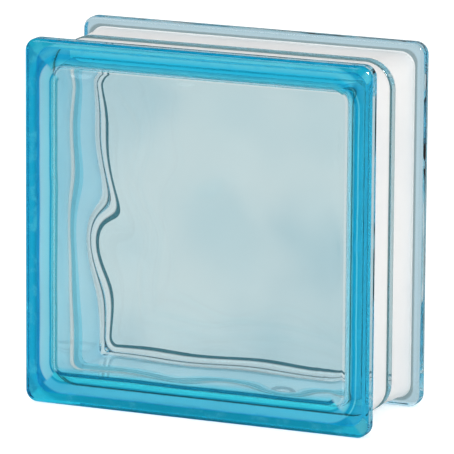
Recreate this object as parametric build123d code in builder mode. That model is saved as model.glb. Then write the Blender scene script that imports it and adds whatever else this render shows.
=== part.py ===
import os
from math import cos, pi, radians, sin

from build123d import *

# Hollow glass building block, in millimetres, standing on its lower edge.
# X runs across the face, Y through the block from the front face to the back, Z up.
# The origin is the middle of the underside, and the front face looks along -Y.
# Two pressed glass dishes are fused rim to rim at y = 0. Between the flanges of
# their faces the side walls carry a white coating, which leaves the seam bare.

# Outside of the block
face_size = 190.0
block_depth = 80.0
face_corner_radius = 6.5
flange_thickness = 9.0
face_edge_radius = 2.5
flange_rear_radius = 1.8
flange_root_radius = 1.2

# Side walls, set back between the flanges
groove_depth_at_flange = 5.5
groove_depth_at_seam = 5.0
wall_corner_at_flange = 7.0
wall_corner_at_seam = 14.0

# Bead of glass left proud where the two rims were fused, outside and inside
bead_width = 6.0
bead_height = 1.2
bead_radius = 0.7
inner_bead_width = 6.0
inner_bead_height = 2.0
inner_bead_radius = 1.4

# Hollow inside, wider at the seam so that each dish leaves its mould
plate_thickness = 8.0
wall_thickness_at_plate = 7.9
wall_thickness_at_seam = 7.7
cavity_corner_at_plate = 6.5
cavity_corner_at_seam = 4.0
cavity_edge_radius = 2.4

# Waves pressed into the inside of both face plates, fading out towards its edges.
# Each row is a wave's height above its mean level, its length from crest to crest,
# the way it runs (degrees from X towards Z) and its shift, as a share of its length.
# The hollow is first made deeper than the deepest wave by wave_trim_depth.
waves = [
    (0.62, 57.7, 90.0, 0.346),
    (0.15, 35.7, 59.3, 0.891),
    (0.29, 44.4, 49.3, 0.016),
    (0.33, 50.5, 141.3, 0.708),
    (0.49, 57.4, 26.7, 0.073),
    (0.59, 55.7, -6.7, 0.132),
]
wave_fade_width = 6.0
wave_grid_step = 5.0
wave_trim_depth = 1.0

# White coating on the side walls and the rounded roots of the flanges
coating_thickness = 0.4
coating_reach_on_flange = 1.0
coating_root_radius = 0.5

# Worked out from the sizes above
face_half = face_size / 2
flange_back = block_depth / 2 - flange_thickness
plate_back = block_depth / 2 - plate_thickness
wall_half_at_flange = face_half - groove_depth_at_flange
wall_half_at_seam = face_half - groove_depth_at_seam
bead_half = wall_half_at_seam + bead_height
cavity_half_at_plate = wall_half_at_flange - wall_thickness_at_plate
cavity_half_at_seam = wall_half_at_seam - wall_thickness_at_seam
inner_bead_half = cavity_half_at_seam - inner_bead_height
wave_reach = sum(crest for crest, *_ in waves)

# Distances along Y are counted from the seam, in the middle of the block
seam_plane = Plane(origin=(0, 0, face_half), x_dir=(1, 0, 0), z_dir=(0, -1, 0))
flange_plane = seam_plane.offset(flange_back)


def smooth_step(share):
    share = min(max(share, 0.0), 1.0)
    return share * share * (3.0 - 2.0 * share)


def wave_fade(spot):
    # 1 over the middle of the plate, falling to 0 where its inside edge is rounded
    edge_distance = cavity_half_at_plate - cavity_edge_radius - abs(spot)
    return smooth_step(edge_distance / wave_fade_width)


def wave_height(x, z):
    # How far the inside of a plate stands towards the hollow from its mean level
    height = 0.0
    for crest, length, direction, shift in waves:
        along = x * cos(radians(direction)) + z * sin(radians(direction))
        height += crest * sin(2 * pi * (along / length + shift))
    return height * wave_fade(x) * wave_fade(z)


def wavy_face():
    reach = cavity_half_at_seam + wave_grid_step
    steps = round(2 * reach / wave_grid_step)
    spots = [reach * (2 * index / steps - 1) for index in range(steps + 1)]
    rows = [
        [seam_plane.from_local_coords((x, z, plate_back - wave_height(x, z))) for x in spots]
        for z in spots
    ]
    return Face.make_surface_from_array_of_points(rows, tol=0.01)


def rounded_square(half, corner, mode=Mode.ADD):
    RectangleRounded(2 * half, 2 * half, corner, mode=mode)


# The hollow of one dish, from the seam to the wavy inside of its plate
with BuildPart() as hollow:
    with BuildSketch(seam_plane):
        rounded_square(cavity_half_at_seam, cavity_corner_at_seam)
    with BuildSketch(seam_plane.offset(plate_back + wave_reach + wave_trim_depth)):
        rounded_square(cavity_half_at_plate, cavity_corner_at_plate)
    loft(ruled=True)
    split(bisect_by=wavy_face(), keep=Keep.TOP)
    plate_end = hollow.faces().sort_by(Axis.Y)[0]
    fillet(plate_end.outer_wire().edges(), cavity_edge_radius)
    with BuildSketch(seam_plane):
        rounded_square(wall_half_at_seam, wall_corner_at_seam)
        rounded_square(inner_bead_half, cavity_corner_at_seam, mode=Mode.SUBTRACT)
    extrude(amount=inner_bead_width / 2, mode=Mode.SUBTRACT)
    bead_side = hollow.faces().filter_by(Axis.Y).sort_by(Axis.Y)[-2]
    fillet(bead_side.inner_wires().edges(), inner_bead_radius)

# The dish that faces the viewer: side wall, flange and half of the seam bead
with BuildPart() as front_half:
    with BuildSketch(seam_plane):
        rounded_square(wall_half_at_seam, wall_corner_at_seam)
    with BuildSketch(flange_plane):
        rounded_square(wall_half_at_flange, wall_corner_at_flange)
    loft(ruled=True)
    with BuildSketch(flange_plane):
        rounded_square(face_half, face_corner_radius)
    extrude(amount=flange_thickness)
    flange_rear = front_half.faces().filter_by(Axis.Y).sort_by(Axis.Y)[1]
    fillet(flange_rear.inner_wires().edges(), flange_root_radius)
    flange_rear = front_half.faces().filter_by(Axis.Y).sort_by(Axis.Y)[1]
    fillet(flange_rear.outer_wire().edges(), flange_rear_radius)
    front_face = front_half.faces().sort_by(Axis.Y)[0]
    fillet(front_face.outer_wire().edges(), face_edge_radius)
    with BuildSketch(seam_plane):
        rounded_square(bead_half, wall_corner_at_seam + bead_height)
    extrude(amount=bead_width / 2)
    bead_side = front_half.faces().filter_by(Axis.Y).sort_by(Axis.Y)[-2]
    fillet(bead_side.outer_wire().edges(), bead_radius)
    add(hollow.part, mode=Mode.SUBTRACT)

# The same dish turned round and fused to the first at the seam
with BuildPart() as back_half:
    add(front_half.part, rotation=(0, 0, 180))

# The white coat on a side wall, which also covers the rounded root of the flange
with BuildPart() as front_coating:
    with BuildSketch(seam_plane):
        rounded_square(wall_half_at_seam + coating_thickness, wall_corner_at_seam + coating_thickness)
    with BuildSketch(flange_plane):
        rounded_square(wall_half_at_flange + coating_thickness, wall_corner_at_flange + coating_thickness)
    loft(ruled=True)
    with BuildSketch(flange_plane):
        coat_rim = wall_half_at_flange + coating_reach_on_flange
        rounded_square(coat_rim, wall_corner_at_flange + coating_reach_on_flange)
    extrude(amount=-coating_thickness)
    root_side = front_coating.faces().filter_by(Axis.Y).sort_by(Axis.Y)[1]
    fillet(root_side.inner_wires().edges(), coating_root_radius)
    split(bisect_by=seam_plane.offset(bead_width / 2), keep=Keep.TOP)
    add(front_half.part, mode=Mode.SUBTRACT)
    add(hollow.part, mode=Mode.SUBTRACT)

with BuildPart() as back_coating:
    add(front_coating.part, rotation=(0, 0, 180))

front_half.part.label = "front_half"
back_half.part.label = "back_half"
front_coating.part.label = "front_coating"
back_coating.part.label = "back_coating"

os.makedirs("parts", exist_ok=True)
export_step(front_half.part, "parts/front_half.step")
export_step(back_half.part, "parts/back_half.step")
export_step(front_coating.part, "parts/front_coating.step")
export_step(back_coating.part, "parts/back_coating.step")
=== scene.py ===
from math import cos, pi, radians, sin

import bpy
from mathutils import Matrix, Vector


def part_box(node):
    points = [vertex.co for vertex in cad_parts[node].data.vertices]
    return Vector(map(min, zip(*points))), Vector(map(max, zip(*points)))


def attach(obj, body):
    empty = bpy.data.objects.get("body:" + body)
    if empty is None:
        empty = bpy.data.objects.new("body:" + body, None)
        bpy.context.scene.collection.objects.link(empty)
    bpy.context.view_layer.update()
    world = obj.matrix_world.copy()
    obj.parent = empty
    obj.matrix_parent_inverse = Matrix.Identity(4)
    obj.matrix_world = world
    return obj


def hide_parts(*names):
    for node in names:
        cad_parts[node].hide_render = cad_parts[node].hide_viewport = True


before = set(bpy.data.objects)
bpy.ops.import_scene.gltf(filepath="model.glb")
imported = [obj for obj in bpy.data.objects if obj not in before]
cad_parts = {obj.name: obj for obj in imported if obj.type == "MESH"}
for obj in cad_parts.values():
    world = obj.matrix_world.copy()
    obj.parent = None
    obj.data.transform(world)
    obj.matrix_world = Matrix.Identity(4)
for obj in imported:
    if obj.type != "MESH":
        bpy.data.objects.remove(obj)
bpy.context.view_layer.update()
scene = bpy.context.scene

# Frame of the part, in metres: X across the face, Y through the block from the front
# face to the back, Z up, origin in the middle of the underside. Shape settings are in
# millimetres and turned into metres where the points are made.
millimetre = 0.001
lowest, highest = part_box("front_half")
faceHalf = (highest.x - lowest.x) / 2
faceY = -lowest.y / millimetre


def lerp(start, end, share):
    return start + (end - start) * share


def arc(centreHalf, centreY, radius, fromDegrees, toDegrees, steps):
    # stations round a circle in the section; 0 degrees points outwards, 90 to the back
    spots = []
    for step in range(steps + 1):
        angle = radians(lerp(fromDegrees, toDegrees, step / steps))
        spots.append((centreHalf + radius * cos(angle), centreY + radius * sin(angle)))
    return spots


def squareRing(half, corner, y, g):
    # points of a rounded square, all rings alike in number and order
    corner = min(corner, half)
    straight = half - corner
    points = []
    for quarter in range(4):
        turn = quarter * pi / 2
        outward = (cos(turn), sin(turn))
        along = (-sin(turn), cos(turn))
        for step in range(g["sideSteps"]):
            shift = lerp(-straight, straight, step / g["sideSteps"])
            points.append((outward[0] * half + along[0] * shift, outward[1] * half + along[1] * shift))
        for step in range(g["cornerSteps"]):
            angle = turn + (pi / 2) * step / g["cornerSteps"]
            points.append(((outward[0] + along[0]) * straight + corner * cos(angle),
                           (outward[1] + along[1]) * straight + corner * sin(angle)))
    return [(x * millimetre, y * millimetre, faceHalf + z * millimetre) for x, z in points]


def skin(rings, closed=False):
    # quads between rings that follow each other
    count = len(rings[0])
    points = [point for ring in rings for point in ring]
    faces = []
    for row in range(len(rings) if closed else len(rings) - 1):
        after = (row + 1) % len(rings)
        for spot in range(count):
            following = (spot + 1) % count
            faces.append((row * count + spot, after * count + spot,
                          after * count + following, row * count + following))
    return points, faces


def capped(rings, inward):
    points, faces = skin(rings)
    count = len(rings[0])
    faces.append(tuple(range(count)))
    faces.append(tuple(reversed(range(len(points) - count, len(points)))))
    if inward:
        faces = [tuple(reversed(face)) for face in faces]
    return points, faces


def makeMesh(name, points, faces):
    mesh = bpy.data.meshes.new(name)
    mesh.from_pydata(points, [], faces)
    mesh.validate()
    mesh.update()
    mesh.shade_smooth()
    piece = bpy.data.objects.new(name, mesh)
    scene.collection.objects.link(piece)
    return piece


# node helpers, used by the geometry group and by the materials alike
def plug(tree, value, socket):
    if hasattr(value, "is_linked"):
        tree.links.new(value, socket)
    else:
        socket.default_value = value


def mathNode(tree, operation, *values):
    node = tree.nodes.new("ShaderNodeMath")
    node.operation = operation
    for value, socket in zip(values, node.inputs):
        plug(tree, value, socket)
    return node.outputs[0]


def ramp(tree, value, low, high, start=0.0, end=1.0):
    node = tree.nodes.new("ShaderNodeMapRange")
    node.interpolation_type = "SMOOTHSTEP"
    settings = {"Value": value, "From Min": low, "From Max": high, "To Min": start, "To Max": end}
    for name, setting in settings.items():
        plug(tree, setting, node.inputs[name])
    return node.outputs["Result"]


def blend(tree, factor, under, over):
    node = tree.nodes.new("ShaderNodeMix")
    node.data_type = "RGBA"
    for value, index in ((factor, 0), (under, 6), (over, 7)):
        plug(tree, value, node.inputs[index])
    return node.outputs[2]


def blendValue(tree, factor, under, over):
    node = tree.nodes.new("ShaderNodeMix")
    node.data_type = "FLOAT"
    for value, index in ((factor, 0), (under, 2), (over, 3)):
        plug(tree, value, node.inputs[index])
    return node.outputs[0]


def noise(tree, vector, scale, detail=2.0, roughness=0.5):
    node = tree.nodes.new("ShaderNodeTexNoise")
    tree.links.new(vector, node.inputs["Vector"])
    node.inputs["Scale"].default_value = scale
    node.inputs["Detail"].default_value = detail
    node.inputs["Roughness"].default_value = roughness
    return node.outputs["Fac"]


def attribute(tree, name):
    node = tree.nodes.new("ShaderNodeAttribute")
    node.attribute_name = name
    return node.outputs["Fac"]


# glass: both pressings as one closed hollow body
glassShape = {
    "faceCorner": 6.5, "faceEdgeRadius": 2.5, "flangeThickness": 9.0,
    "flangeRearRadius": 1.8, "flangeRootRadius": 1.2,
    "wallHalfAtFlange": 89.5, "wallHalfAtSeam": 90.0,
    "wallCornerAtFlange": 7.0, "wallCornerAtSeam": 14.0,
    "beadWidth": 6.0, "beadHeight": 1.2, "beadRadius": 0.7,
    "plateThickness": 8.0, "cavityHalfAtPlate": 81.6, "cavityHalfAtSeam": 82.3,
    "cavityCornerAtPlate": 6.5, "cavityCornerAtSeam": 4.0, "cavityEdgeRadius": 2.4,
    "innerBeadWidth": 6.0, "innerBeadHeight": 2.0, "innerBeadRadius": 1.4,
    "sideSteps": 56, "cornerSteps": 10, "plateRings": 42,
}
flangeBack = faceY - glassShape["flangeThickness"]
plateY = faceY - glassShape["plateThickness"]
flatHalf = glassShape["cavityHalfAtPlate"] - glassShape["cavityEdgeRadius"]


def outerStations(g):
    # section of the outside from the middle of the front face to the seam: (half, corner, y)
    faceH = faceHalf / millimetre
    rounded, rear = g["faceEdgeRadius"], g["flangeRearRadius"]
    root, bead = g["flangeRootRadius"], g["beadRadius"]
    edgeHalf = faceH - rounded
    stations = []
    for half in (2, 25, 50, 70, 80, 85, 89, edgeHalf - 1):
        stations.append((half, (g["faceCorner"] - rounded) * half / edgeHalf, -faceY))
    for half, y in arc(edgeHalf, -faceY + rounded, rounded, -90, 0, 8):
        stations.append((half, g["faceCorner"] - faceH + half, y))
    for share in (0.15, 0.5, 0.85):
        stations.append((faceH, g["faceCorner"], lerp(-faceY + rounded, -flangeBack - rear, share)))
    for half, y in arc(faceH - rear, -flangeBack - rear, rear, 0, 90, 6):
        stations.append((half, g["faceCorner"] - faceH + half, y))
    rootHalf = g["wallHalfAtFlange"] + root
    rootCorner = g["wallCornerAtFlange"] + root
    for share in (0.1, 0.3, 0.5, 0.7, 0.9):
        half = lerp(faceH - rear, rootHalf, share)
        stations.append((half, lerp(g["faceCorner"] - rear, rootCorner, share), -flangeBack))
    for half, y in arc(rootHalf, -flangeBack + root, root, 270, 180, 6):
        stations.append((half, rootCorner - rootHalf + half, y))
    beadEdge = -g["beadWidth"] / 2
    for share in (0.05, 0.2, 0.4, 0.6, 0.8, 0.93, 1.0):
        y = lerp(-flangeBack + root, beadEdge, share)
        part = (y + flangeBack) / flangeBack
        stations.append((lerp(g["wallHalfAtFlange"], g["wallHalfAtSeam"], part),
                         lerp(g["wallCornerAtFlange"], g["wallCornerAtSeam"], part), y))
    beadHalf = g["wallHalfAtSeam"] + g["beadHeight"]
    beadCorner = g["wallCornerAtSeam"] + g["beadHeight"]
    for half, y in arc(beadHalf - bead, beadEdge + bead, bead, -90, 0, 6):
        stations.append((half, beadCorner - beadHalf + half, y))
    stations.append((beadHalf, beadCorner, beadEdge / 2))
    stations.append((beadHalf, beadCorner, 0.0))
    return stations


def innerStations(g):
    # section of the hollow from the middle of the front plate to the seam
    rounded, bead = g["cavityEdgeRadius"], g["innerBeadRadius"]
    flatCorner = g["cavityCornerAtPlate"] - rounded
    count = g["plateRings"]
    halves = [(flatHalf - 1.6) * (ring + 0.3) / (count - 0.7) for ring in range(count)]
    halves += [flatHalf - 1.0, flatHalf - 0.65, flatHalf - 0.55, flatHalf - 0.1, flatHalf]
    stations = [(half, flatCorner * half / flatHalf, -plateY) for half in halves]
    for half, y in arc(flatHalf, -plateY + rounded, rounded, -90, 0, 8)[1:]:
        stations.append((half, flatCorner - flatHalf + half, y))
    beadEdge = -g["innerBeadWidth"] / 2
    for share in (0.03, 0.15, 0.3, 0.5, 0.7, 0.85, 0.95, 1.0):
        y = lerp(-plateY + rounded, beadEdge, share)
        part = (y + plateY) / plateY
        stations.append((lerp(g["cavityHalfAtPlate"], g["cavityHalfAtSeam"], part),
                         lerp(g["cavityCornerAtPlate"], g["cavityCornerAtSeam"], part), y))
    beadHalf = g["cavityHalfAtSeam"] - g["innerBeadHeight"]
    for half, y in arc(beadHalf + bead, beadEdge + bead, bead, 270, 180, 7):
        stations.append((half, g["cavityCornerAtSeam"], y))
    for share in (0.45, 0.38, 0.2, 0.0):
        stations.append((beadHalf, g["cavityCornerAtSeam"], beadEdge * share))
    return stations


def bothHalves(stations):
    # the second half mirrors the first across the seam
    return stations + [(half, corner, -y) for half, corner, y in reversed(stations[:-1])]


# how far the tints and painted shade reach in the section, in millimetres
zoneReach = {
    "face": 2.2, "paleRim": 1.4, "wallSlack": 0.3, "grooveShade": 91.5,
    "backEdgeFrom": 34.5, "backEdgeTo": 36, "backEdgeHalf": 94.9, "backEdgeSide": 60,
    "hollowEdgeShade": 0.6, "roundingBefore": 0.2, "roundingAfter": 0.9, "fusedEdgeShade": 0.9,
}


# where each tint and painted shade of the glass lies, by a ring's half width and y and a point's x
def outsideZones(g, reach):
    bead, beadRadius, root = g["beadWidth"] / 2, g["beadRadius"], g["flangeRootRadius"]
    wall = g["wallHalfAtFlange"] - reach["wallSlack"]

    def faceSide(half, y, x):
        return y <= reach["face"] - faceY

    def paleRim(half, y, x):
        return flangeBack - root <= y <= flangeBack + reach["paleRim"] and half >= wall

    def seam(half, y, x):
        return abs(y) <= bead - beadRadius

    # painted shade: a dark line along the upper right edge of the back flange
    def backEdgeShade(half, y, x):
        outermost = half >= reach["backEdgeHalf"] and x > reach["backEdgeSide"]
        return reach["backEdgeFrom"] <= y <= reach["backEdgeTo"] and outermost

    def edgeShade(half, y, x):
        # full at the bead's foot, weaker in the root of the back flange
        atRoot = flangeBack - root <= y <= flangeBack and wall <= half <= reach["grooveShade"]
        return max(bead - 0.8 * beadRadius <= abs(y) <= bead, 0.8 * atRoot)

    return {"faceSide": faceSide, "paleRim": paleRim, "seam": seam,
            "backEdgeShade": backEdgeShade, "edgeShade": edgeShade}


def hollowZones(g, reach):
    rounding, innerBead = plateY - g["cavityEdgeRadius"], g["innerBeadWidth"] / 2

    def pressed(half, y, x):
        return half <= flatHalf - 0.05 and abs(y) >= plateY - 0.1

    def atRounding(y):
        return rounding - reach["roundingBefore"] <= y <= rounding + reach["roundingAfter"]

    # painted shade: a near-black line round the back plate's hollow edge, where refraction at the
    # rounding shows dark
    def hollowEdgeShade(half, y, x):
        near = flatHalf - reach["hollowEdgeShade"] <= half <= flatHalf + reach["hollowEdgeShade"]
        onPlate = near and y > plateY - reach["hollowEdgeShade"]
        return y > 0 and (onPlate or atRounding(y) and half > flatHalf + 2)

    def azureLine(half, y, x):
        return atRounding(-y) and half > flatHalf + 1.6

    # painted shade: darker lines along both edges of the inner bead at the seam
    def fusedEdgeShade(half, y, x):
        return innerBead - reach["fusedEdgeShade"] <= abs(y) <= innerBead + 0.2

    def fusedMiddle(half, y, x):
        return abs(y) < innerBead - reach["fusedEdgeShade"]

    return {"pressed": pressed, "hollowEdgeShade": hollowEdgeShade, "azureLine": azureLine,
            "fusedEdgeShade": fusedEdgeShade, "fusedMiddle": fusedMiddle}


def paint(piece, name, values):
    # numbers kept on the mesh, one a point, for the nodes to read
    layer = piece.data.attributes.new(name, "FLOAT", "POINT")
    layer.data.foreach_set("value", values)


def makeGlass(g):
    outerList, innerList = bothHalves(outerStations(g)), bothHalves(innerStations(g))
    outside = [squareRing(*station, g) for station in outerList]
    inside = [squareRing(*station, g) for station in innerList]
    outPoints, outFaces = capped(outside, False)
    inPoints, inFaces = capped(inside, True)
    start = len(outPoints)
    inFaces = [tuple(start + index for index in face) for face in inFaces]
    piece = makeMesh("glassBlock", outPoints + inPoints, outFaces + inFaces)
    outsideRules, hollowRules = outsideZones(g, zoneReach), hollowZones(g, zoneReach)
    surfaces = ((outside, outerList, outsideRules), (inside, innerList, hollowRules))
    for name in dict.fromkeys([*outsideRules, *hollowRules]):
        values = []
        for rings, stations, rules in surfaces:
            rule = rules.get(name, lambda half, y, x: 0.0)
            for ring, (half, corner, y) in zip(rings, stations):
                values += [float(rule(half, y, point[0] / millimetre)) for point in ring]
        paint(piece, name, values)
    # 1 on the inside of the front plate and -1 on the inside of the back plate
    plates = [0.0] * len(outPoints)
    for half, corner, y in innerList:
        plates += [float((y < 1e-6 - plateY) - (y > plateY - 1e-6))] * len(inside[0])
    paint(piece, "plate", plates)
    return piece


# waves pressed into both plates, made by a node group that moves the plates' points
waveShape = {
    "Fade Width": 0.006, "Flat Half": flatHalf * millimetre, "Middle": faceHalf, "Strength": 1.0,
}
# crest height, length from crest to crest, direction from X towards Z, shift as a share
plateWaves = [
    (0.62, 57.7, 90.0, 0.346),
    (0.15, 35.7, 59.3, 0.891),
    (0.29, 44.4, 49.3, 0.016),
    (0.33, 50.5, 141.3, 0.708),
    (0.49, 57.4, 26.7, 0.073),
    (0.59, 55.7, -6.7, 0.132),
]


def makeWaveGroup():
    tree = bpy.data.node_groups.new("pressedWaves", "GeometryNodeTree")
    tree.interface.new_socket("Geometry", in_out="INPUT", socket_type="NodeSocketGeometry")
    for name in waveShape:
        tree.interface.new_socket(name, in_out="INPUT", socket_type="NodeSocketFloat")
    tree.interface.new_socket("Glass", in_out="INPUT", socket_type="NodeSocketMaterial")
    tree.interface.new_socket("Geometry", in_out="OUTPUT", socket_type="NodeSocketGeometry")
    given, result = tree.nodes.new("NodeGroupInput"), tree.nodes.new("NodeGroupOutput")
    place = tree.nodes.new("ShaderNodeSeparateXYZ")
    tree.links.new(tree.nodes.new("GeometryNodeInputPosition").outputs[0], place.inputs[0])
    side = tree.nodes.new("GeometryNodeInputNamedAttribute")
    side.data_type = "FLOAT"
    side.inputs["Name"].default_value = "plate"
    side = side.outputs["Attribute"]
    # the back plate is the front one turned round, so its waves run the other way in X
    x = mathNode(tree, "MULTIPLY", place.outputs["X"], side)
    z = mathNode(tree, "SUBTRACT", place.outputs["Z"], given.outputs["Middle"])
    height = 0.0
    for crest, length, direction, shift in plateWaves:
        turns = 2 * pi / (length * millimetre)
        along = mathNode(tree, "ADD", mathNode(tree, "MULTIPLY", x, turns * cos(radians(direction))),
                         mathNode(tree, "MULTIPLY", z, turns * sin(radians(direction))))
        wave = mathNode(tree, "SINE", mathNode(tree, "ADD", along, 2 * pi * shift))
        height = mathNode(tree, "MULTIPLY_ADD", wave, crest * millimetre, height)
    for spot in (x, z):
        rest = mathNode(tree, "SUBTRACT", given.outputs["Flat Half"], mathNode(tree, "ABSOLUTE", spot))
        height = mathNode(tree, "MULTIPLY", height, ramp(tree, rest, 0.0, given.outputs["Fade Width"]))
    height = mathNode(tree, "MULTIPLY", height, side)
    height = mathNode(tree, "MULTIPLY", height, given.outputs["Strength"])
    move = tree.nodes.new("ShaderNodeCombineXYZ")
    tree.links.new(height, move.inputs["Y"])
    shift = tree.nodes.new("GeometryNodeSetPosition")
    tree.links.new(given.outputs["Geometry"], shift.inputs["Geometry"])
    tree.links.new(move.outputs[0], shift.inputs["Offset"])
    real = tree.nodes.new("GeometryNodeRealizeInstances")
    tree.links.new(shift.outputs["Geometry"], real.inputs["Geometry"])
    dress = tree.nodes.new("GeometryNodeSetMaterial")
    tree.links.new(real.outputs["Geometry"], dress.inputs["Geometry"])
    tree.links.new(given.outputs["Glass"], dress.inputs["Material"])
    tree.links.new(dress.outputs["Geometry"], result.inputs["Geometry"])
    return tree


def runGroup(piece, tree, settings):
    # runs the group once and keeps its result as a plain mesh
    modifier = piece.modifiers.new(tree.name, "NODES")
    modifier.node_group = tree
    for item in tree.interface.items_tree:
        if item.item_type == "SOCKET" and item.in_out == "INPUT" and item.name in settings:
            modifier[item.identifier] = settings[item.name]
    graph = bpy.context.evaluated_depsgraph_get()
    made = piece.evaluated_get(graph)
    mesh = bpy.data.meshes.new_from_object(made, preserve_all_data_layers=True, depsgraph=graph)
    piece.modifiers.remove(modifier)
    piece.data = mesh


def newMaterial(name):
    material = bpy.data.materials.new(name)
    material.use_nodes = True
    tree = material.node_tree
    return material, tree, tree.nodes["Principled BSDF"], tree.nodes["Material Output"]


glassLook = {
    "ior": 1.52,
    "absorb": (0.008, 0.0017, 0.0002),  # per millimetre
    "clear": (1.0, 1.0, 1.0, 1), "streak": (0.975, 0.99, 0.992, 1), "streakScale": 22.0,
    "tints": {
        # the pressed field's grey tint is painted shade, clouded lighter and darker below
        "pressed": (0.85, 0.96, 0.965, 1), "paleRim": (0.43, 0.70, 0.84, 1),
        "seam": (0.84, 0.82, 0.79, 1), "edgeShade": (0.08, 0.13, 0.13, 1),
        "azureLine": (0.02, 0.55, 0.70, 1),
        "hollowEdgeShade": (0.0008, 0.035, 0.055, 1), "fusedEdgeShade": (0.20, 0.56, 0.62, 1),
        "fusedMiddle": (0.40, 0.92, 1.0, 1),
    },
    # painted light and shade: grey clouds on the pressed field, for the uneven surroundings seen through
    # the waves
    "cloudShade": (0.62, 0.815, 0.87, 1), "cloudShadeScale": 11.0,
    "backEdgeShade": (0.001, 0.05, 0.16, 1),
    # tints of the front face's rim, by millimetres from the middle of the face: the azure colour plus
    # painted shade and painted highlight lines, different for each side
    "rimFrom": 74.0, "rimTo": 95.5, "rimCorner": 0.073, "wobble": 0.0011, "wobbleScale": 38.0,
    "leftRim": (
        (75.9, (1, 1, 1)), (76.5, (0.06, 0.42, 0.48)), (77.3, (0.10, 0.5, 0.56)),
        (78.0, (0.4, 1, 1)), (79.5, (0.2, 0.95, 1)), (79.9, (0.0015, 0.36, 0.62)),
        (80.6, (0.0015, 0.36, 0.62)), (81.1, (0.5, 1, 1)), (85.8, (0.85, 1, 1)),
        (86.4, (0.001, 0.3, 0.7)), (88.5, (0.00002, 0.15, 0.42)), (90.0, (0.00005, 0.27, 0.68)),
        (92.0, (0.0002, 0.27, 0.66)), (93.8, (0.0002, 0.18, 0.45)),
    ),
    "rightRim": (
        (83.0, (1, 1, 1)), (85.6, (0.14, 0.85, 0.9)), (86.6, (0.000018, 0.27, 0.52)),
        (88.0, (0.000045, 0.34, 0.6)), (88.5, (0.14, 0.95, 1)), (89.1, (0.00009, 0.34, 0.58)),
        (92.5, (0.013, 0.45, 0.7)),
    ),
    "topRim": (
        (82.0, (1, 1, 1)), (82.5, (0.045, 0.45, 0.55)), (83.4, (0.09, 0.8, 0.93)),
        (85.0, (0.013, 0.6, 0.8)), (86.0, (0.0014, 0.42, 0.75)), (88.0, (0.0014, 0.5, 0.85)),
        (90.3, (0.054, 0.68, 0.88)), (92.6, (0.023, 0.6, 0.88)), (93.8, (0.00014, 0.28, 0.56)),
    ),
    "bottomRim": (
        (74.5, (1, 1, 1)), (77.0, (0.11, 0.85, 1)), (77.5, (0.00009, 0.10, 0.22)),
        (79.0, (0.00009, 0.10, 0.22)), (79.6, (0.027, 0.95, 1)), (81.6, (0.023, 0.95, 1)),
        (82.3, (0.00036, 0.32, 0.5)), (83.0, (0.00072, 0.42, 0.65)), (83.8, (0.063, 0.68, 0.92)),
        (87.9, (0.09, 0.7, 0.94)), (88.8, (0.000018, 0.26, 0.55)), (91.5, (0.000014, 0.24, 0.5)),
        (93.5, (0.00045, 0.4, 0.75)),
    ),
    # lighter azure specks on the rim's outer band: painted sparkle
    "rimSparkle": (0.006, 0.5, 0.85, 1), "rimSparkleScale": 120.0,
    "roughness": 0.003, "roughRim": 0.04, "roughScale": 400.0,
    "rippleScale": 130.0, "ripple": 0.000035, "ripplePlain": 0.12, "rippleCorner": 4.0,
}


def colourRamp(tree, value, stops, low, high):
    node = tree.nodes.new("ShaderNodeValToRGB")
    share = mathNode(tree, "DIVIDE", mathNode(tree, "SUBTRACT", value, low), high - low)
    tree.links.new(share, node.inputs["Fac"])
    elements = node.color_ramp.elements
    for index, (spot, colour) in enumerate(stops):
        place = (spot - low) / (high - low)
        stop = elements[index] if index < 2 else elements.new(place)
        stop.position = place
        stop.color = (*colour, 1)
    return node.outputs["Color"]


def rimTintAndPaintedLight(tree, place, look):
    # bands of azure colour and of painted shade and highlight lines that follow the rounded outline of
    # the face, wobbling a little
    parts = tree.nodes.new("ShaderNodeSeparateXYZ")
    tree.links.new(place, parts.inputs[0])
    x, z = parts.outputs["X"], mathNode(tree, "SUBTRACT", parts.outputs["Z"], faceHalf)
    farX, farZ = mathNode(tree, "ABSOLUTE", x), mathNode(tree, "ABSOLUTE", z)
    squares = []
    for far in (farX, farZ):
        beyond = mathNode(tree, "MAXIMUM", mathNode(tree, "SUBTRACT", far, look["rimCorner"]), 0.0)
        squares.append(mathNode(tree, "POWER", beyond, 2.0))
    distance = mathNode(tree, "SQRT", mathNode(tree, "ADD", *squares))
    distance = mathNode(tree, "ADD", distance, look["rimCorner"])
    wobble = mathNode(tree, "SUBTRACT", noise(tree, place, look["wobbleScale"], 2.0), 0.5)
    distance = mathNode(tree, "MULTIPLY_ADD", wobble, look["wobble"], distance)
    spot = mathNode(tree, "DIVIDE", distance, millimetre)
    left, right, top, bottom = (colourRamp(tree, spot, look[name], look["rimFrom"], look["rimTo"])
                                for name in ("leftRim", "rightRim", "topRim", "bottomRim"))
    sides = blend(tree, ramp(tree, x, -0.02, 0.02), left, right)
    ends = blend(tree, ramp(tree, z, -0.02, 0.02), bottom, top)
    upright = ramp(tree, mathNode(tree, "SUBTRACT", farZ, farX), -0.0012, 0.0012)
    outermost, upper = ramp(tree, distance, 0.0865, 0.088), ramp(tree, z, -0.01, 0.035)
    corners = ramp(tree, mathNode(tree, "MINIMUM", farX, farZ), 0.084, 0.088)
    return blend(tree, upright, sides, ends), outermost, upper, corners


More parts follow.
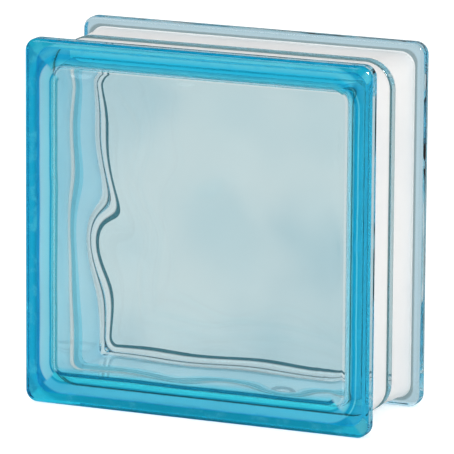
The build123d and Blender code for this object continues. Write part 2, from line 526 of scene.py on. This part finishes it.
def makeGlassMaterial(look):
    material, tree, shader, output = newMaterial("azureGlass")
    shader.inputs["Transmission Weight"].default_value = 1.0
    shader.inputs["IOR"].default_value = look["ior"]
    place = tree.nodes.new("ShaderNodeTexCoord").outputs["Object"]
    # faint streaks in the melt; painted light and shade as soft grey clouds on the pressed plates;
    # painted sparkle as lighter specks on the rim
    streaks = ramp(tree, noise(tree, place, look["streakScale"], 2.0), 0.4, 0.65)
    colour = blend(tree, streaks, look["clear"], look["streak"])
    cloudShade = ramp(tree, noise(tree, place, look["cloudShadeScale"], 2.0), 0.39, 0.64)
    rim, outermost, upper, corners = rimTintAndPaintedLight(tree, place, look)
    for zone, tint in look["tints"].items():
        if zone == "pressed":
            tint = blend(tree, cloudShade, tint, look["cloudShade"])
        colour = blend(tree, attribute(tree, zone), colour, tint)
    # painted sparkle: lighter specks on the rim's outer band
    speckle = ramp(tree, noise(tree, place, look["rimSparkleScale"], 3.0, 0.65), 0.5, 0.72)
    speckle = mathNode(tree, "MULTIPLY", speckle, mathNode(tree, "MULTIPLY", outermost, 0.5))
    front = attribute(tree, "faceSide")
    colour = blend(tree, front, colour, blend(tree, speckle, rim, look["rimSparkle"]))
    # painted shade along the back flange's upper right edge
    upperEdge = mathNode(tree, "MULTIPLY", attribute(tree, "backEdgeShade"), upper)
    colour = blend(tree, upperEdge, colour, look["backEdgeShade"])
    tree.links.new(colour, shader.inputs["Base Color"])
    rimShare = mathNode(tree, "MULTIPLY", front, outermost)
    grain = ramp(tree, noise(tree, place, look["roughScale"], 1.0), 0.35, 0.75)
    rough = blendValue(tree, rimShare, look["roughness"], look["roughRim"])
    tree.links.new(mathNode(tree, "MULTIPLY", grain, rough), shader.inputs["Roughness"])
    ripple = tree.nodes.new("ShaderNodeBump")
    ripple.inputs["Distance"].default_value = look["ripple"]
    strength = blendValue(tree, rimShare, look["ripplePlain"], 1.0)
    strength = blendValue(tree, corners, strength, look["rippleCorner"])
    height = mathNode(tree, "MULTIPLY", noise(tree, place, look["rippleScale"], 1.0), strength)
    tree.links.new(height, ripple.inputs["Height"])
    tree.links.new(ripple.outputs["Normal"], shader.inputs["Normal"])
    volume = tree.nodes.new("ShaderNodeVolumeAbsorption")
    absorb = [value / millimetre for value in look["absorb"]]
    density = max(absorb)
    volume.inputs["Color"].default_value = tuple(1 - value / density for value in absorb) + (1,)
    volume.inputs["Density"].default_value = density
    tree.links.new(volume.outputs["Volume"], output.inputs["Volume"])
    return material


glassBlock = makeGlass(glassShape)
azureGlass = makeGlassMaterial(glassLook)
glassBlock.data.materials.append(azureGlass)
runGroup(glassBlock, makeWaveGroup(), {**waveShape, "Glass": azureGlass})
print("glass block:", len(glassBlock.data.polygons), "faces")

# white coat on the side walls, its inner side sunk into the glass so that no air is between
coatShape = {"thickness": 0.4, "sunk": 0.1, "reach": 1.0, "rootRadius": 0.5, "endRadius": 0.25}
coatLook = {
    "colour": (0.95, 0.95, 0.94, 1), "patch": (0.90, 0.91, 0.91, 1), "patchScale": 18.0,
    # fused: a lighter copy of the white, painted light on the walls seen through the glass
    "fused": (0.985, 0.98, 0.975, 1),  # the side that lies on the glass
    # edge: painted shade in the crease by the flange
    "edge": (0.70, 0.74, 0.75, 1), "edgeFrom": 0.0288, "edgeTo": 0.0308,
    "roughness": (0.45, 0.65), "grain": 0.00003, "grainScale": 700.0,
}


def makeCoat(name, side, g, c):
    flangeHalf, seamHalf = g["wallHalfAtFlange"], g["wallHalfAtSeam"]
    thick, sunk, root, rounded = c["thickness"], c["sunk"], g["flangeRootRadius"], c["rootRadius"]
    cornerOff = g["wallCornerAtFlange"] - flangeHalf
    beadEdge = g["beadWidth"] / 2

    def wall(y, offset):
        part = 1 - y / flangeBack
        return (lerp(flangeHalf, seamHalf, part) + offset,
                lerp(g["wallCornerAtFlange"], g["wallCornerAtSeam"], part) + offset, y)

    # out of the flange, round the root, along the wall and over the end at the seam
    reachHalf = flangeHalf + c["reach"]
    stations = [(reachHalf, reachHalf + cornerOff, flangeBack + sunk),
                (reachHalf, reachHalf + cornerOff, flangeBack - 0.5 * thick)]
    for half, y in arc(flangeHalf + thick + rounded, flangeBack - thick - rounded, rounded, 90, 180, 6):
        stations.append((half, half + cornerOff, y))
    for share in (0.1, 0.3, 0.5, 0.7, 0.9, 1.0):
        stations.append(wall(lerp(flangeBack - thick - rounded, beadEdge + c["endRadius"], share), thick))
    for degrees in (30, 60, 90):
        y = beadEdge + c["endRadius"] * (1 - sin(radians(degrees)))
        stations.append(wall(y, thick - c["endRadius"] * (1 - cos(radians(degrees)))))
    # and back along the glass
    outsideCount = len(stations)
    for share in (0.0, 0.3, 0.6, 0.9):
        stations.append(wall(lerp(beadEdge, flangeBack - root, share), -sunk))
    for half, y in arc(flangeHalf + root, flangeBack - root, root + sunk, 180, 100, 6):
        stations.append((half, half + cornerOff, y))
    rings = [squareRing(half, corner, -side * y, g) for half, corner, y in stations]
    points, faces = skin(rings, closed=True)
    if side < 0:
        faces = [tuple(reversed(face)) for face in faces]
    piece = makeMesh(name, points, faces)
    onGlass = [float(index >= outsideCount) for index in range(len(stations))]
    paint(piece, "fused", [value for value in onGlass for _ in rings[0]])
    return piece


def makeCoatMaterial(look):
    material, tree, shader, output = newMaterial("whiteCoat")
    place = tree.nodes.new("ShaderNodeTexCoord").outputs["Object"]
    parts = tree.nodes.new("ShaderNodeSeparateXYZ")
    tree.links.new(place, parts.inputs[0])
    depth = mathNode(tree, "ABSOLUTE", parts.outputs["Y"])
    patches = ramp(tree, noise(tree, place, look["patchScale"], 4.0), 0.35, 0.7)
    colour = blend(tree, patches, look["colour"], look["patch"])
    # painted shade: grey where the coat meets the flange, in the crease at its root
    edge = ramp(tree, depth, look["edgeFrom"], look["edgeTo"])
    colour = blend(tree, mathNode(tree, "MULTIPLY", edge, 0.8), colour, look["edge"])
    colour = blend(tree, attribute(tree, "fused"), colour, look["fused"])
    tree.links.new(colour, shader.inputs["Base Color"])
    grain = noise(tree, place, look["grainScale"], 3.0, 0.6)
    tree.links.new(ramp(tree, grain, 0.3, 0.7, *look["roughness"]), shader.inputs["Roughness"])
    bump = tree.nodes.new("ShaderNodeBump")
    bump.inputs["Distance"].default_value = look["grain"]
    tree.links.new(grain, bump.inputs["Height"])
    tree.links.new(bump.outputs["Normal"], shader.inputs["Normal"])
    return material


frontCoat = makeCoat("frontCoat", 1, glassShape, coatShape)
backCoat = makeCoat("backCoat", -1, glassShape, coatShape)
whiteCoat = makeCoatMaterial(coatLook)
for coat in (frontCoat, backCoat):
    coat.data.materials.append(whiteCoat)
print("coats:", len(frontCoat.data.polygons) + len(backCoat.data.polygons), "faces")

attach(glassBlock, "root")
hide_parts("front_half", "back_half")
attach(frontCoat, "root")
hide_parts("front_coating")
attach(backCoat, "root")
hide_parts("back_coating")

stageLook = {
    "floorHalf": 3.0, "floorColour": (0.9, 0.9, 0.9, 1), "cameraLift": 0.45,
    "light": 1.64, "lightAbove": 0.40, "background": 1.0,
    "reflected": 0.16, "floorShown": 0.82, "floorGlow": 0.6,
    # what clear glass shows, by how straight through the block a ray leaves
    "backdrop": ((0.30, 0.05), (0.50, 0.35), (0.62, 1.0), (0.68, 1.3), (0.74, 1.0),
                 (0.86, 0.91), (0.90, 0.81), (0.96, 0.74)),
}


def reflectedLess(tree, path, look):
    # full strength for a ray that went into the glass, less for one mirrored off it
    within = mathNode(tree, "MINIMUM", path.outputs["Transmission Depth"], 1.0)
    return blendValue(tree, within, look["reflected"], 1.0)


def onlyGlassMet(tree, path):
    # 1 for a ray that has only met glass, 0 once it has met a matt surface
    matt = mathNode(tree, "MINIMUM", path.outputs["Diffuse Depth"], 1.0)
    shiny = mathNode(tree, "MAXIMUM", path.outputs["Is Transmission Ray"],
                     path.outputs["Is Glossy Ray"])
    return mathNode(tree, "MULTIPLY", mathNode(tree, "SUBTRACT", 1.0, matt), shiny)


def makeFloor(look):
    half = look["floorHalf"]
    corners = [(-half, -half, 0), (half, -half, 0), (half, half, 0), (-half, half, 0)]
    floor = makeMesh("floor", corners, [(0, 1, 2, 3)])
    material, tree, shader, output = newMaterial("paleFloor")
    shader.inputs["Roughness"].default_value = 0.9
    shader.inputs["Specular IOR Level"].default_value = 0.0
    path = tree.nodes.new("ShaderNodeLightPath")
    shown = mathNode(tree, "MULTIPLY", reflectedLess(tree, path, look), look["floorShown"])
    through = onlyGlassMet(tree, path)
    level = blendValue(tree, through, 1.0, mathNode(tree, "MULTIPLY", shown, 1 - look["floorGlow"]))
    tree.links.new(blend(tree, level, (0, 0, 0, 1), look["floorColour"]), shader.inputs["Base Color"])
    glow = mathNode(tree, "MULTIPLY", mathNode(tree, "MULTIPLY", through, shown), look["floorGlow"])
    lift = mathNode(tree, "MULTIPLY", path.outputs["Is Camera Ray"], look["cameraLift"])
    shader.inputs["Emission Color"].default_value = (1, 1, 1, 1)
    tree.links.new(mathNode(tree, "ADD", lift, glow), shader.inputs["Emission Strength"])
    floor.data.materials.append(material)


def makeWorld(look):
    # clear glass shows the backdrop, dark far left and right, and all else the even light
    world = bpy.data.worlds.new("softRoom")
    scene.world = world
    world.use_nodes = True
    tree = world.node_tree
    background = tree.nodes["Background"]
    background.inputs["Color"].default_value = (1, 1, 1, 1)
    path = tree.nodes.new("ShaderNodeLightPath")
    parts = tree.nodes.new("ShaderNodeSeparateXYZ")
    tree.links.new(tree.nodes.new("ShaderNodeTexCoord").outputs["Generated"], parts.inputs[0])
    stops = [(spot, (level, level, level)) for spot, level in look["backdrop"]]
    backdrop = colourRamp(tree, mathNode(tree, "ABSOLUTE", parts.outputs["Y"]), stops, 0.0, 1.0)
    shown = mathNode(tree, "MULTIPLY", reflectedLess(tree, path, look), backdrop)
    light = ramp(tree, parts.outputs["Z"], 0.2, 0.9, look["light"], look["lightAbove"])
    level = blendValue(tree, onlyGlassMet(tree, path), light, shown)
    level = blendValue(tree, path.outputs["Is Camera Ray"], level, look["background"])
    tree.links.new(level, background.inputs["Strength"])


lampLook = {
    "key": {"place": (-1.0, -1.4, 1.8), "size": (1.4, 0.7), "power": 8.0},
    # only mirrored off surfaces, for glints on the rounded corners
    "glint": {"place": (1.0, -0.9, 1.1), "size": (0.45, 0.45), "power": 80.0, "mirroredOnly": True},
}


def makeLamps(lamps):
    for name, look in lamps.items():
        light = bpy.data.lights.new(name, "AREA")
        light.shape = "RECTANGLE"
        light.size, light.size_y = look["size"]
        light.energy = look["power"]
        lamp = bpy.data.objects.new(name, light)
        lamp.location = look["place"]
        if look.get("mirroredOnly"):
            lamp.visible_diffuse = lamp.visible_transmission = False
        towards = Vector((0, 0, 0.09)) - Vector(look["place"])
        lamp.rotation_euler = towards.to_track_quat("-Z", "Y").to_euler()
        scene.collection.objects.link(lamp)


makeFloor(stageLook)
makeWorld(stageLook)
makeLamps(lampLook)
print("stage: floor, room and", len(lampLook), "lamps")

cameraLook = {"azimuth": 23.34, "elevation": 12.346, "roll": 0.376, "distance": 2.7164,
              "target": (0.000635, 0.0, 0.092708), "lens": 421.5}


def makeCamera(look):
    azimuth, elevation, roll = (radians(look[key]) for key in ("azimuth", "elevation", "roll"))
    back = Vector((sin(azimuth) * cos(elevation), -cos(azimuth) * cos(elevation), sin(elevation)))
    right = (-back).cross(Vector((0, 0, 1))).normalized()
    up = back.cross(right)
    right, up = right * cos(roll) + up * sin(roll), up * cos(roll) - right * sin(roll)
    camera = bpy.data.objects.new("camera", bpy.data.cameras.new("camera"))
    place = Vector(look["target"]) + back * look["distance"]
    camera.matrix_world = Matrix.Translation(place) @ Matrix((right, up, back)).transposed().to_4x4()
    camera.data.lens = look["lens"]
    camera.data.sensor_width = 36.0
    camera.data.clip_end = 50.0
    scene.collection.objects.link(camera)
    scene.camera = camera


makeCamera(cameraLook)
scene.view_settings.view_transform = "Standard"
scene.cycles.max_bounces = 32
scene.cycles.transmission_bounces = 32
scene.cycles.glossy_bounces = 16
scene.cycles.diffuse_bounces = 8
# light inside the block only gets out sharp with this at zero
scene.cycles.blur_glossy = 0.0
print("camera set")
